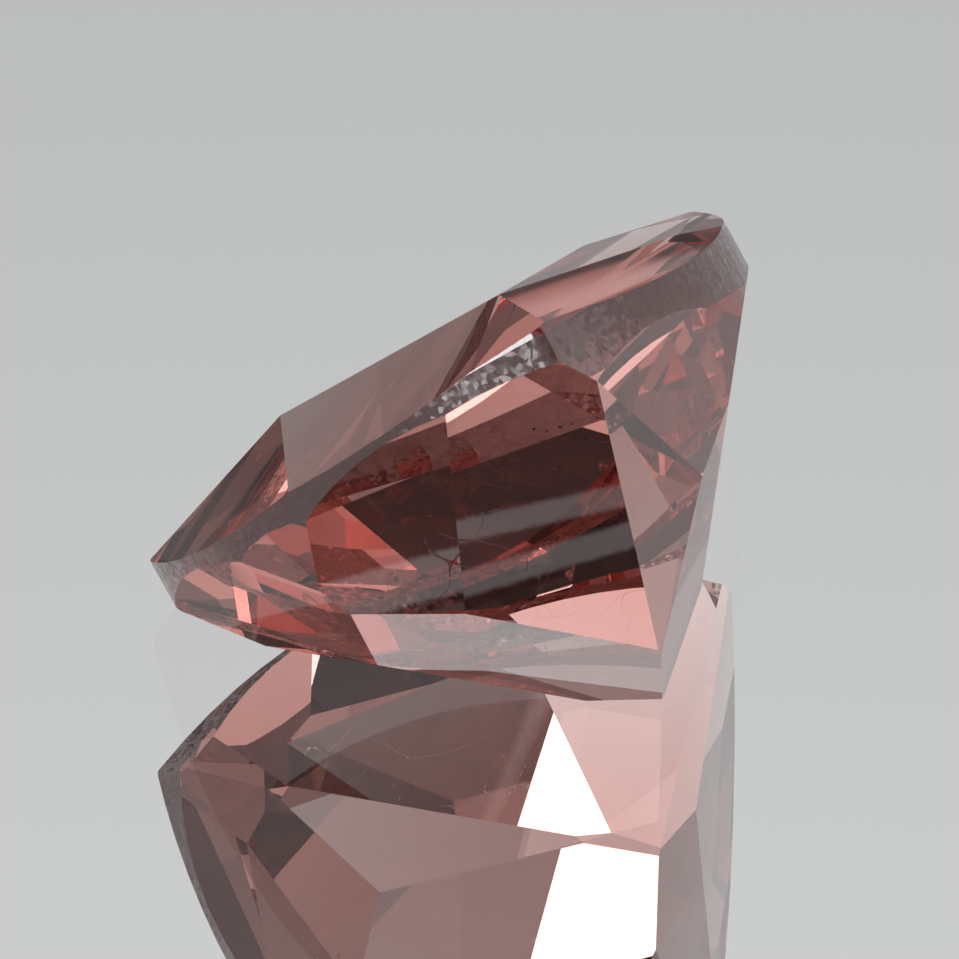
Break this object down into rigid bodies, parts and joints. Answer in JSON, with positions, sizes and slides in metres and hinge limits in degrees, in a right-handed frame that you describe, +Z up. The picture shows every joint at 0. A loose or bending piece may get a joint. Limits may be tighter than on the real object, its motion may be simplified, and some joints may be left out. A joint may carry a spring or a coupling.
{
  "type": "pyrope-spessartine garnet",
  "caption": "Hand-cut triangular garnet gemstone with a flat table, curved sides and a deep faceted pavilion, resting on a pavilion facet.",
  "frame": {"origin": "middle of the foot of the bounding box, on the surface the stone rests on", "axes": "+Z up with the stone lying on its resting facet, -Y towards the viewer; the table looks up, away and to the left"},
  "size_m": [0.0066, 0.0062, 0.0059],
  "materials": {
    "garnet": "polished clear brownish-red garnet, refractive index 1.76, with an unpolished ground girdle"
  },
  "bodies": {
    "root": {"garnet": "garnet"}
  },
  "joints": []
}
